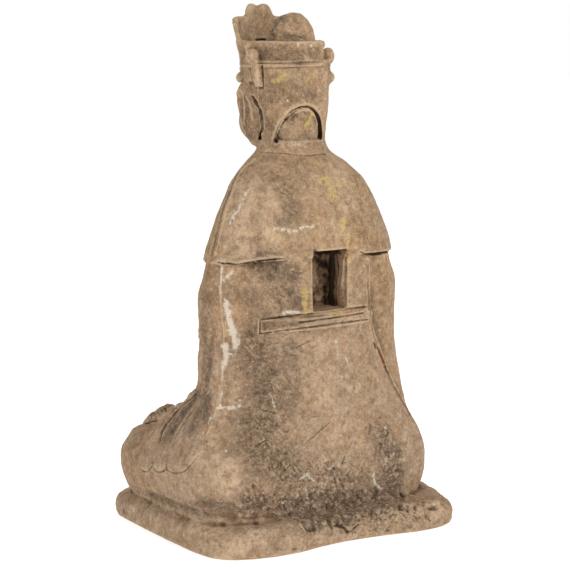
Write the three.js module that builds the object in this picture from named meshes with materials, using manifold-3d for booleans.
// A seated Guanyin carved from one block of stone, with its low rough base.
// Lengths are millimetres. +Z is up, the figure faces -Y and its left side is +X.
// The origin is the middle of the underside.
import * as THREE from "three";
import { mergeVertices } from "three/addons/utils/BufferGeometryUtils.js";
import Module from "manifold-3d";

const wasm = await Module();
wasm.setup();

// Driving dimensions
const HEIGHT = 750;
const BASE_HEIGHT = 42;
const KNEE = { x: 158, y: -104, z: 89, radius: 52 };
const HIP = { x: 128, y: 56, z: 90, radius: 62 };
const BELT = { top: 318, bottom: 300, proud: 4 };
const CAPE = { hem: 394, neck: 545 };
const NICHE = { x: -6, bottom: 324, top: 409, halfWidth: 29, floorY: 52 };
const HEAD = { y: -8, z: 604 };
const BAND = { bottom: 659, top: 697, y: -3 };
const EAR = { lobe: 547, tip: 641, hairStart: 18 };

// The base's outline seen from above, X and Y, once round from its left side to its back
const BASE_OUTLINE = [
  [212, -20],
  [208, 40],
  [202, 95],
  [189, 130],
  [160, 150],
  [95, 165],
  [15, 157],
  [-65, 163],
  [-135, 175],
  [-178, 168],
  [-201, 147],
  [-213, 100],
  [-211, 0],
  [-213, -110],
  [-196, -156],
  [-130, -173],
  [0, -170],
  [130, -175],
  [190, -165],
  [212, -141],
  [214, -85],
];

// Stations of the trunk: height, half width, centre Y, depth behind it, depth before it
const TRUNK = [
  [30, 172, 14, 110, 100],
  [100, 172, 16, 110, 92],
  [150, 157, 19, 105, 82],
  [200, 147, 24, 98, 72],
  [250, 128, 30, 86, 68],
  [310, 112, 35, 77, 68],
  [370, 111, 38, 74, 70],
  [430, 106, 38, 68, 70],
  [480, 94, 33, 54, 60],
  [510, 70, 26, 44, 46],
  [540, 46, 20, 34, 36],
];
// Stations of the cape: height, half width, centre Y, half depth
const CAPE_BELL = [
  [394, 152, 38, 77],
  [414, 149, 38, 75],
  [440, 138, 38, 71],
  [480, 119, 36, 64],
  [509, 101, 31, 57],
  [527, 79, 25, 49],
  [545, 53, 18, 38],
];
// Stations of an arm in its sleeve, shoulder to wrist: X, Y, Z, radius
const ARM = [
  [84, 34, 470, 26],
  [104, 38, 425, 29],
  [112, 38, 385, 35],
  [125, 38, 345, 36],
  [127, 37, 250, 34],
  [127, 12, 197, 22],
  [139, -42, 161, 21],
  [148, -68, 160, 16],
];

// The sleeve's cloth below the elbow, against the thigh
const SLEEVE = [
  [127, 40, 250, 33],
  [145, 52, 165, 28],
];

const clamp01 = (x) => Math.min(1, Math.max(0, x));
const smooth = (x) => clamp01(x) ** 2 * (3 - 2 * clamp01(x));
const degrees = (x) => (x * Math.PI) / 180;

// Values between stations, along a smooth curve through them
function between(stations, at, column) {
  const last = stations.length - 1;
  let i = 0;
  while (i < last - 1 && at > stations[i + 1][0]) i++;
  const [a, b] = [stations[i], stations[i + 1]];
  const slope = (lo, hi) =>
    (stations[hi][column] - stations[lo][column]) / (stations[hi][0] - stations[lo][0]);
  const span = b[0] - a[0];
  const t = clamp01((at - a[0]) / span);
  const m0 = slope(Math.max(i - 1, 0), i + 1) * span;
  const m1 = slope(i, Math.min(i + 2, last)) * span;
  const [t2, t3] = [t * t, t * t * t];
  const rise = 3 * t2 - 2 * t3;
  return (1 - rise) * a[column] + (t3 - 2 * t2 + t) * m0 + rise * b[column] + (t3 - t2) * m1;
}

// Distances from a point to rounded forms, negative inside
function blend(a, b, radius) {
  const h = Math.max(radius - Math.abs(a - b), 0) / radius;
  return Math.min(a, b) - h * h * radius * 0.25;
}

function taperedRod(p, [ax, ay, az, ra], [bx, by, bz, rb]) {
  const [dx, dy, dz] = [bx - ax, by - ay, bz - az];
  const along = (p.x - ax) * dx + (p.y - ay) * dy + (p.z - az) * dz;
  const t = clamp01(along / (dx * dx + dy * dy + dz * dz));
  return Math.hypot(p.x - ax - dx * t, p.y - ay - dy * t, p.z - az - dz * t) - (ra + (rb - ra) * t);
}

function oval(p, x, y, z, rx, ry, rz, power = 2) {
  const reach = (v) => Math.abs(v) ** power;
  const sum = reach((p.x - x) / rx) + reach((p.y - y) / ry) + reach((p.z - z) / rz);
  return (sum ** (1 / power) - 1) * Math.min(rx, ry, rz);
}

function trunk(p) {
  const z = Math.min(Math.max(p.z, TRUNK[0][0]), TRUNK.at(-1)[0]);
  const [a, cy, back, front] = [1, 2, 3, 4].map((column) => between(TRUNK, z, column));
  const b = p.y > cy ? back : front;
  const power = 2.7 - 0.5 * smooth((z - 120) / 200);
  const reach = Math.abs(p.x / a) ** power + Math.abs((p.y - cy) / b) ** power;
  return Math.max((reach ** (1 / power) - 1) * Math.min(a, b), p.z - TRUNK.at(-1)[0]);
}

const at = (x, y, z) => new THREE.Vector3(x, y, z);
const LEGS = [1, -1].map((side) => ({
  hip: [side * HIP.x, HIP.y, HIP.z, HIP.radius],
  knee: [side * KNEE.x, KNEE.y, KNEE.z, KNEE.radius],
  shin: [side * (KNEE.x - 8), KNEE.y - 8, 82, KNEE.radius - 8],
  ankle: [-side * 34, side > 0 ? -98 : -112, side > 0 ? 84 : 66, 34],
}));

function legs(p) {
  // The cloth hangs straighter below the thighs than a round leg would
  const middle = KNEE.z;
  const q = { x: p.x, y: p.y, z: p.z < middle ? middle + (p.z - middle) * 0.8 : p.z };
  let d = Infinity;
  for (const { hip, knee, shin, ankle } of LEGS) {
    d = Math.min(d, blend(taperedRod(q, hip, knee), taperedRod(q, shin, ankle), 18));
  }
  return d;
}

// Both arms in their sleeves
function arms(p) {
  const q = { x: Math.abs(p.x), y: p.y, z: p.z };
  let d = taperedRod(q, ...SLEEVE);
  for (let i = 1; i < ARM.length; i++) d = blend(d, taperedRod(q, ARM[i - 1], ARM[i]), 6);
  return d;
}

function figure(p) {
  const lap = legs(p);
  const skirt = blend(trunk(p), lap, 60);
  const sleeves = blend(arms(p), lap, 24);
  return blend(skirt, sleeves, p.x > 0 ? 16 : 7);
}

// The outermost point of a form along a ray
function surfacePoint(field, origin, direction, farthest = 320) {
  const p = at(0, 0, 0);
  const value = (r) => field(p.copy(direction).multiplyScalar(r).add(origin));
  const step = 8;
  let outside = farthest;
  while (outside > step && value(outside - step) > 0) outside -= step;
  let inside = Math.max(outside - step, 0);
  for (let i = 0; i < 18; i++) {
    const middle = (inside + outside) / 2;
    if (value(middle) > 0) outside = middle;
    else inside = middle;
  }
  return direction.clone().multiplyScalar(inside).add(origin);
}

// The direction straight out of a form's surface
function outward(field, p) {
  const slope = (axis) => {
    const [ahead, behind] = [p.clone(), p.clone()];
    ahead[axis] += 1;
    behind[axis] -= 1;
    return field(ahead) - field(behind);
  };
  return at(slope("x"), slope("y"), slope("z")).normalize();
}

// A closed geometry as a solid, facing out
function solid(geometry) {
  const plain = geometry.clone();
  plain.deleteAttribute("normal");
  plain.deleteAttribute("uv");
  const merged = mergeVertices(plain, 1e-3);
  const index = [];
  for (let i = 0; i < merged.index.count; i += 3) {
    const [a, b, c] = [0, 1, 2].map((k) => merged.index.getX(i + k));
    if (a !== b && b !== c && c !== a) index.push(a, b, c);
  }
  const build = (triVerts) =>
    new wasm.Manifold(
      new wasm.Mesh({ numProp: 3, vertProperties: merged.attributes.position.array, triVerts }),
    );
  const made = build(new Uint32Array(index));
  return made.volume() > 0 ? made : build(new Uint32Array(index.reverse()));
}

// Moves each vertex of a geometry to where the function sends it
function reshape(geometry, move) {
  const position = geometry.attributes.position;
  const p = at(0, 0, 0);
  for (let i = 0; i < position.count; i++) {
    const q = move(p.fromBufferAttribute(position, i));
    position.setXYZ(i, q.x, q.y, q.z);
  }
  return solid(geometry);
}

// A closed tube: section(t, angle) is its rim and centre(t) its middle, t running from 0 to 1
function tube(sides, rings, section, centre) {
  const drum = new THREE.CylinderGeometry(1, 1, 1, sides, rings);
  return reshape(drum, (p) => {
    const t = p.y + 0.5;
    const angle = Math.atan2(p.z, p.x);
    return Math.hypot(p.x, p.z) < 0.5 ? centre(t) : section(t, angle);
  });
}

// A slab: place(s, w, h) is a point of it, s, w and h running from 0 to 1 across, up and out
function slab(across, up, place, out = 1) {
  const block = new THREE.BoxGeometry(1, 1, 1, across, up, out);
  return reshape(block, (p) => place(p.x + 0.5, p.y + 0.5, p.z + 0.5));
}

function ball(x, y, z, rx, ry, rz, around = 8, up = 5) {
  const sphere = new THREE.SphereGeometry(1, around, up);
  return reshape(sphere, (p) => at(x + p.x * rx, y + p.z * ry, z + p.y * rz));
}

// A point of a rounded square's rim, about a point on the Y axis at height z
function squareRim(angle, a, b, power, y, z) {
  const [c, s] = [Math.cos(angle), Math.sin(angle)];
  const bent = (v) => Math.sign(v) * Math.abs(v) ** (2 / power);
  return at(a * bent(c), y + b * bent(s), z);
}

const join = (pieces) => pieces.reduce((whole, piece) => whole.add(piece));

// The rough base slab
function makeBase() {
  // Height and inset of each ring of the slab's side and of its top
  const rings = [
    [0, 5],
    [7, 0],
    [20, 0],
    [31, 4],
    [38, 13],
    [BASE_HEIGHT, 27],
    [BASE_HEIGHT + 1, 60],
  ];
  const outline = new THREE.CatmullRomCurve3(BASE_OUTLINE.map(([x, y]) => at(x, y, 0)), true);
  const columns = 2 * BASE_OUTLINE.length;
  const place = (t, turn) => {
    const round = ((turn / (2 * Math.PI) + 1) * columns) % columns;
    const p = outline.getPoint(round / columns);
    const [z, inset] = rings[Math.round(t * (rings.length - 1))];
    const angle = Math.atan2(p.y, p.x);
    const wave = z > 20 ? 2.4 * Math.sin(4 * angle + 1) + 2 * Math.sin(6 * angle + 1.9) : 0;
    return p.multiplyScalar(1 - inset / p.length()).setZ(z + wave);
  };
  return tube(columns, rings.length - 1, place, (t) => at(0, 0, t < 0.5 ? 0 : BASE_HEIGHT + 1));
}

// The sleeve's cloth over the thigh. Its hem is a row of lobes that meet in cusps, each cusp
// so many degrees behind the side at some height, each lobe hanging some way below its cusps
const FALL = {
  cusps: [
    [-20, 96],
    [-5, 104],
    [3, 107],
    [20, 133],
  ],
  sags: [12, 7, 12],
  lift: 4.5,
  top: 236,
};

function fallHem(back) {
  const { cusps, sags } = FALL;
  const held = Math.min(Math.max(back, cusps[0][0]), cusps.at(-1)[0]);
  const i = Math.max(cusps.findIndex(([edge]) => held <= edge) - 1, 0);
  const [[left, low], [right, high]] = [cusps[i], cusps[i + 1]];
  const x = (held - left) / (right - left);
  return low + (high - low) * x - sags[i] * Math.sin(Math.PI * x) ** 0.8;
}

// How far the cloth stands out from the thigh, with a fold that runs up from each inner cusp
function fallLift(back, z) {
  const [first, last] = [FALL.cusps[0][0], FALL.cusps.at(-1)[0]];
  const hem = fallHem(back);
  if (back < first || back > last || z < hem) return 0;
  const edge = smooth((back - first) / 6) * smooth((last - back) / 5);
  // A fold sways forward above its cusp, then leans back towards the elbow
  const lean = 23 * (Math.max(0, z - 168) / 47) ** 2;
  const fold = ([cusp, foot], sway) => {
    const middle = cusp - sway * smooth((z - foot) / 55) + lean;
    return Math.max(0, 1 - Math.abs(back - middle) / 5.5);
  };
  const folds = fold(FALL.cusps[1], 7) + fold(FALL.cusps[2], 2);
  const carved = 5 * folds * smooth((z - hem) / 25) * smooth((222 - z) / 30);
  return FALL.lift * edge * smooth((FALL.top - z) / 90) - carved;
}

// Legs, skirt, trunk and sleeves in one surface, found by rays that fan out from a rising point
function makeBody() {
  const columns = 52;
  // Columns crowd towards the sides
  const squash = 0.6;
  const below = 4;
  const above = 5;
  const [lowest, steepest] = [-17, 41];
  const climb = 13;
  const close = [56, 70];
  const [low, high] = [68, 440];
  const rows = below + 1 + above + 1 + climb + close.length;
  const ray = (row, back) => {
    const hem = (Math.atan2(fallHem(back) - low, 190) * 180) / Math.PI;
    if (row <= below) return [low, lowest + ((hem - 0.8 - lowest) * row) / below];
    const over = row - below - 1;
    if (over <= above) return [low, hem + 0.8 + ((steepest - hem - 0.8) * over) / above];
    const risen = Math.min(over - above, climb) / climb;
    const tilt = over - above <= climb ? steepest : close[over - above - climb - 1];
    return [low + (high - low) * risen, tilt];
  };
  const section = (t, turn) => {
    const angle = Math.atan2(squash * Math.sin(turn), Math.cos(turn));
    const back = (Math.asin(Math.sin(angle)) * 180) / Math.PI;
    const [z, tilt] = ray(Math.round(t * (rows - 1)), back);
    const [c, s] = [Math.cos(degrees(tilt)), Math.sin(degrees(tilt))];
    const direction = at(c * Math.cos(angle), c * Math.sin(angle), s);
    const skin = surfacePoint(figure, at(0, 4, z), direction);
    return skin.addScaledVector(outward(figure, skin), fallLift(back, skin.z));
  };
  return tube(columns, rows - 1, section, (t) => at(0, 10, t < 0.5 ? 20 : 560));
}

const bell = (z, column) => between(CAPE_BELL, z, column);

// The cape over the shoulders, open in front in a broad V
function makeCape() {
  const rings = 7;
  const section = (t, angle) => {
    // The hem rises a little across the back
    const wave = 7 * Math.max(0, Math.sin(angle)) ** 2 * (1 - t);
    const z = CAPE.hem + (CAPE.neck - CAPE.hem) * t + wave;
    const zBell = Math.min(Math.max(z, CAPE.hem), CAPE.neck);
    const [a, cy, b] = [1, 2, 3].map((column) => bell(zBell, column));
    // A shallow groove down each shoulder
    const back = (Math.asin(Math.sin(angle)) * 180) / Math.PI;
    const groove = Math.max(0, 1 - Math.abs(back + 1) / 8);
    const r = 1 - 0.022 * groove * smooth((0.9 - t) * 4);
    return at(a * r * Math.cos(angle), cy + b * r * Math.sin(angle), z);
  };
  const whole = tube(40, rings, section, (t) => at(0, 34, CAPE.hem + (CAPE.neck - CAPE.hem) * t));
  const opening = new THREE.Shape();
  opening.moveTo(0, CAPE.neck - 6);
  opening.lineTo(-142, CAPE.hem - 30);
  opening.lineTo(142, CAPE.hem - 30);
  opening.closePath();
  const wedge = new THREE.ExtrudeGeometry(opening, { depth: 120, bevelEnabled: false, steps: 1 });
  wedge.rotateX(Math.PI / 2);
  wedge.translate(0, 8, 0);
  return whole.subtract(solid(wedge));
}

// The sash on the back between the sleeves
function makeBelt() {
  const place = (s, w, h) => {
    const angle = degrees(150 - 124 * s);
    const z = BELT.bottom + (BELT.top - BELT.bottom) * w;
    const direction = at(Math.cos(angle), Math.sin(angle), 0);
    const skin = surfacePoint(figure, at(0, 35, z), direction, 200);
    return skin.addScaledVector(direction, h > 0.5 ? BELT.proud : -12);
  };
  return slab(16, 1, place);
}

// A raised band on the robe's front, from one point (x, z) to another
function frontBand([x0, z0], [x1, z1], width, thickness, pieces) {
  const [dx, dz] = [x1 - x0, z1 - z0];
  const length = Math.hypot(dx, dz);
  const place = (s, w, h) => {
    const off = (width * (w - 0.5)) / length;
    const start = at(x0 + dx * s - dz * off, 20, z0 + dz * s + dx * off);
    const skin = surfacePoint(figure, start, at(0, -1, 0), 160);
    return skin.add(at(0, h > 0.5 ? -thickness : 10, 0));
  };
  return slab(pieces, 1, place);
}

// The robe's crossed lapels, the sash in front, its knot and its two ends
function makeRobeFront() {
  const middle = (BELT.top + BELT.bottom) / 2;
  return [
    frontBand([46, 522], [-14, 396], 16, 7, 4),
    frontBand([-46, 522], [34, 360], 16, 9, 5),
    frontBand([-84, middle], [84, middle], 20, 7, 8),
    frontBand([-5, middle], [-16, 205], 15, 9, 4),
    frontBand([5, middle], [14, 216], 14, 8, 4),
    ball(0, -42, middle, 15, 10, 12),
  ];
}

// The square-cut recess in the back
function makeNiche() {
  const depth = 160 - NICHE.floorY;
  const cut = new THREE.BoxGeometry(2 * NICHE.halfWidth, depth, NICHE.top - NICHE.bottom);
  cut.translate(NICHE.x, NICHE.floorY + depth / 2, (NICHE.top + NICHE.bottom) / 2);
  return solid(cut);
}

function makeNeckAndCollar() {
  // The neck is broad at the back, so that it nearly fills the arch in the hair
  const neck = tube(
    20,
    3,
    (t, angle) => squareRim(angle, 40 - 5 * t, 36 + 10.5 * smooth(t), 3, 7, 525 + 85 * t),
    (t) => at(0, 7, 525 + 85 * t),
  );
  // Height, half width and half depth of each ring of the collar
  const rings = [
    [528, 62, 46],
    [538, 59, 43],
    [548, 54, 39],
    [559, 50, 36],
  ];
  const collar = tube(
    26,
    rings.length - 1,
    (t, angle) => {
      const [z, a, b] = rings[Math.round(t * (rings.length - 1))];
      return at(a * Math.cos(angle), 19 + b * Math.sin(angle), z);
    },
    (t) => at(0, 19, 528 + 31 * t),
  );
  return neck.add(collar);
}

// Skull and face
function headField(p) {
  const q = { x: Math.abs(p.x), y: p.y, z: p.z };
  let d = oval(q, 0, HEAD.y + 6, 622, 54, 60, 62, 2.3);
  d = blend(d, oval(q, 0, HEAD.y - 12, 592, 51, 46, 52, 2.4), 16);
  d = blend(d, oval(q, 0, -56, 553, 16, 12, 12), 14);
  d = blend(d, oval(q, 24, -48, 580, 19, 15, 18), 14);
  d = blend(d, taperedRod(q, [0, -60, 614, 4], [0, -70, 588, 6]), 8);
  d = blend(d, taperedRod(q, [0, -66, 586, 4], [7, -63, 586, 3.5]), 4);
  d = blend(d, taperedRod(q, [0, -65, 570, 3.4], [9, -61, 571, 2]), 4);
  return d;
}

function makeHead() {
  const sphere = new THREE.SphereGeometry(1, 22, 13);
  const centre = at(0, HEAD.y, HEAD.z);
  return reshape(sphere, (p) => {
    // More of the columns face forward, where the features are
    const angle = Math.atan2(p.x, -p.z);
    const pulled = angle - 0.42 * Math.sin(angle);
    const flat = Math.hypot(p.x, p.z);
    const direction = at(flat * Math.sin(pulled), -flat * Math.cos(pulled), p.y).normalize();
    return surfacePoint(headField, centre, direction, 120);
  });
}

// The hair behind the ears, falling to the collar on each side of the nape
function makeHair() {
  const rings = [
    [552, 50, 11, 38],
    [578, 54.5, 9, 43],
    [606, 58, 7, 49],
    [636, 60, 4, 52],
    [670, 57, 0, 54],
  ];
  const whole = tube(
    28,
    rings.length - 1,
    (t, angle) => {
      const [z, a, y, b] = rings[Math.round(t * (rings.length - 1))];
      return squareRim(angle, a, b, 2.5, y, z);
    },
    (t) => at(0, 6, 552 + 118 * t),
  );
  // Below the ears' tops the hair starts behind the ears
  const front = new THREE.BoxGeometry(200, 140, 100);
  front.translate(0, EAR.hairStart - 70, EAR.tip - 50);
  return whole.subtract(solid(front)).subtract(napeArch(20, 90));
}

// The arch over the nape, flaring at its foot, as a prism from Y = near to Y = far
function napeArch(near, far) {
  const top = 604;
  const arch = new THREE.Shape();
  arch.moveTo(-40, 540);
  arch.lineTo(-37, 556);
  arch.bezierCurveTo(-34, 584, -24, top, 0, top);
  arch.bezierCurveTo(24, top, 34, 584, 37, 556);
  arch.lineTo(40, 540);
  arch.closePath();
  const options = { depth: far - near, bevelEnabled: false, curveSegments: 7 };
  const prism = new THREE.ExtrudeGeometry(arch, options);
  prism.rotateX(Math.PI / 2);
  prism.translate(0, far, 0);
  return solid(prism);
}

// A long ear, its lobe down to the jaw and turned in under the cheek
function makeEar(side) {
  const sphere = new THREE.SphereGeometry(1, 12, 8);
  return reshape(sphere, (p) => {
    const up = (p.y + 1) / 2;
    const y = -6 - 11 * up + (15 + 11 * up) * p.z;
    // It stands out towards its front edge
    const x = 48 + 9 * up ** 0.6 + 8 * p.x - 0.22 * (y + 17);
    return at(side * x, y, EAR.lobe + (EAR.tip - EAR.lobe) * up);
  });
}

// The crown's band, its rolled rim, and the flat top of the head inside it
function makeBand() {
  // Height and radius of each ring
  const rings = [
    [654, 55],
    [BAND.bottom, 57],
    [BAND.bottom + 3, 61.5],
    [BAND.bottom + 6.5, 57],
    [BAND.top - 15, 56],
    [BAND.top, 58],
  ];
  const band = tube(
    30,
    rings.length - 1,
    (t, angle) => {
      const [z, r] = rings[Math.round(t * (rings.length - 1))];
      return at(r * Math.cos(angle), BAND.y + r * Math.sin(angle), z);
    },
    (t) => at(0, BAND.y, rings[t < 0.5 ? 0 : rings.length - 1][0]),
  );
  const hollow = new THREE.CylinderGeometry(50, 48, 20, 20);
  hollow.rotateX(Math.PI / 2);
  hollow.translate(0, BAND.y, BAND.top);
  return band.subtract(solid(hollow));
}

// Top edge of the crown's front, by the distance round from its middle in millimetres:
// a tip of two lobes between low shoulders
function crownTop(d) {
  const lobes = HEIGHT - 3 * Math.max(0, 1 - d / 5) - 2.5 * (Math.max(0, d - 8) / 7) ** 2;
  const tip = d < 18.5 ? lobes - 5 * Math.max(0, (d - 14) / 4) : 0;
  return Math.max(tip, 732 - 0.0068 * (d - 26) ** 2);
}

function makeCrownFront() {
  const foot = 650;
  const radius = 61;
  const half = [0, 4, 8, 12, 15.5, 18, 20.5, 27, 35, 43, 51, 59, 66];
  const places = [...half.slice(1).reverse().map((d) => -d), ...half];
  const place = (s, w, h) => {
    const along = places[Math.round(s * (places.length - 1))];
    const turn = along / radius;
    const z = foot + (crownTop(Math.abs(along)) - foot) * w;
    const flare = 17 * smooth((z - 655) / 95);
    const thick = h > 0.5 ? 4 : -5 + flare * 0.1;
    // The top leans out less in front, so that the crown's face flattens as it rises
    const [across, ahead] = [radius * 0.95 + flare + thick, radius * 1.04 + flare * 0.74 + thick];
    return at(across * Math.sin(turn), -ahead * Math.cos(turn), z);
  };
  return slab(places.length - 1, 3, place);
}

function makeBun() {
  const sphere = new THREE.SphereGeometry(1, 14, 9);
  return reshape(sphere, (p) => {
    const full = 1 + 0.07 * Math.max(0, p.y) * (1 - p.y);
    const [x, y] = [35 * p.x * full, 36 * p.z * full];
    const cleft = 3 * Math.max(0, 1 - Math.abs(x - 4) / 7);
    const shrink = 1 - cleft / 36;
    const lean = 5 * Math.max(0, p.y);
    return at(x * shrink, 13 + lean + y * shrink, 692 + 45.5 * p.y * shrink);
  });
}

// Knots, ribbon ends and rosettes at each side of the crown. The right ribbon lies closer
// to the head and ends in a bunch.
function makeCrownTrim(side) {
  const pieces = [
    ball(side * 60, -2, 691, 8, 8.5, 7),
    ball(side * 63, 14, 675, 10, 11.5, 12.5),
    ball(side * 55, -33, 645, 7, 7, 8),
  ];
  if (side < 0) pieces.push(ball(side * 59, 25, 645, 8, 9, 8.5));
  const out = side > 0 ? 61 : 57;
  const ribbon = tube(
    7,
    3,
    (t, angle) => {
      const w = 8.5 - 2.5 * t;
      const [x, y] = [side * (out - t), 18 + 6 * t];
      return at(x + w * 0.7 * Math.cos(angle), y + w * Math.sin(angle), 670 - 36 * t);
    },
    (t) => at(side * (out - t), 18 + 6 * t, 670 - 36 * t),
  );
  return join([...pieces, ribbon]);
}

// A rod bent through three points, with rounded ends
function bentRod(points, radii, sides = 6, rings = 3) {
  const path = new THREE.QuadraticBezierCurve3(...points);
  return tube(
    sides,
    rings,
    (t, angle) => {
      const along = path.getTangent(t);
      const u = at(0, 0, 1).cross(along).normalize();
      const v = along.clone().cross(u);
      const end = Math.min(1, 0.55 + 2 * Math.min(t, 1 - t));
      const r = (radii[0] + (radii[1] - radii[0]) * t) * end;
      return path
        .getPoint(t)
        .addScaledVector(u, r * Math.cos(angle))
        .addScaledVector(v, r * Math.sin(angle));
    },
    (t) => path.getPoint(t),
  );
}

// A hand laid over the knee, fingers together
function makeHand(side) {
  const wrist = at(147, -66, 160);
  const knuckles = at(153, -95, 159);
  const forward = knuckles.clone().sub(wrist).normalize();
  const across = at(0.82, -0.3, -0.48);
  const point = (from, along, sideways, up) => {
    const p = from.clone().addScaledVector(forward, along).addScaledVector(across, sideways);
    return at(side * p.x, p.y, p.z + up);
  };
  const palmPath = [point(wrist, -14, 0, -6), point(wrist, 16, 0, -1), point(knuckles, 8, 0, -9)];
  const reaches = [25, 28, 27, 23];
  const fingers = reaches.map((reach, i) => {
    const sideways = -15 + 10 * i;
    const route = [
      point(knuckles, -8, sideways, -1),
      point(knuckles, reach * 0.7, sideways, -1),
      point(knuckles, reach, sideways, -27),
    ];
    return bentRod(route, [6.4, 5.4]);
  });
  const thumb = [point(wrist, 8, -14, -4), point(wrist, 30, -24, -8), point(knuckles, 14, -24, -20)];
  return join([bentRod(palmPath, [14, 17], 8), ...fingers, bentRod(thumb, [8, 5.6])]);
}

const statue = join([
  makeBase(),
  makeBody(),
  makeBelt(),
  ...makeRobeFront(),
  makeCape(),
  makeNeckAndCollar(),
  makeHead(),
  makeHair(),
  makeEar(1),
  makeEar(-1),
  makeBand(),
  makeCrownFront(),
  makeBun(),
  makeCrownTrim(1),
  makeCrownTrim(-1),
  makeHand(1),
  makeHand(-1),
]).subtract(makeNiche());

// The stone is solid: pockets closed in between the joined forms are filled
const filled = statue.decompose().reduce((a, b) => (a.volume() > b.volume() ? a : b));

// The solid's mesh, moved so that its box stands centred on the origin
function geometryOf(manifold) {
  const mesh = manifold.getMesh();
  const geometry = new THREE.BufferGeometry();
  geometry.setAttribute("position", new THREE.BufferAttribute(mesh.vertProperties, 3));
  geometry.setIndex(new THREE.BufferAttribute(mesh.triVerts, 1));
  geometry.computeBoundingBox();
  const middle = geometry.boundingBox.getCenter(at(0, 0, 0));
  geometry.translate(-middle.x, -middle.y, 0);
  geometry.computeVertexNormals();
  return geometry;
}

const stone = new THREE.MeshStandardMaterial({ color: 0xa88d70, roughness: 0.92, metalness: 0 });
const carving = new THREE.Mesh(geometryOf(filled), stone);
carving.name = "guanyin_figure";

const group = new THREE.Group();
group.add(carving);

export default group;
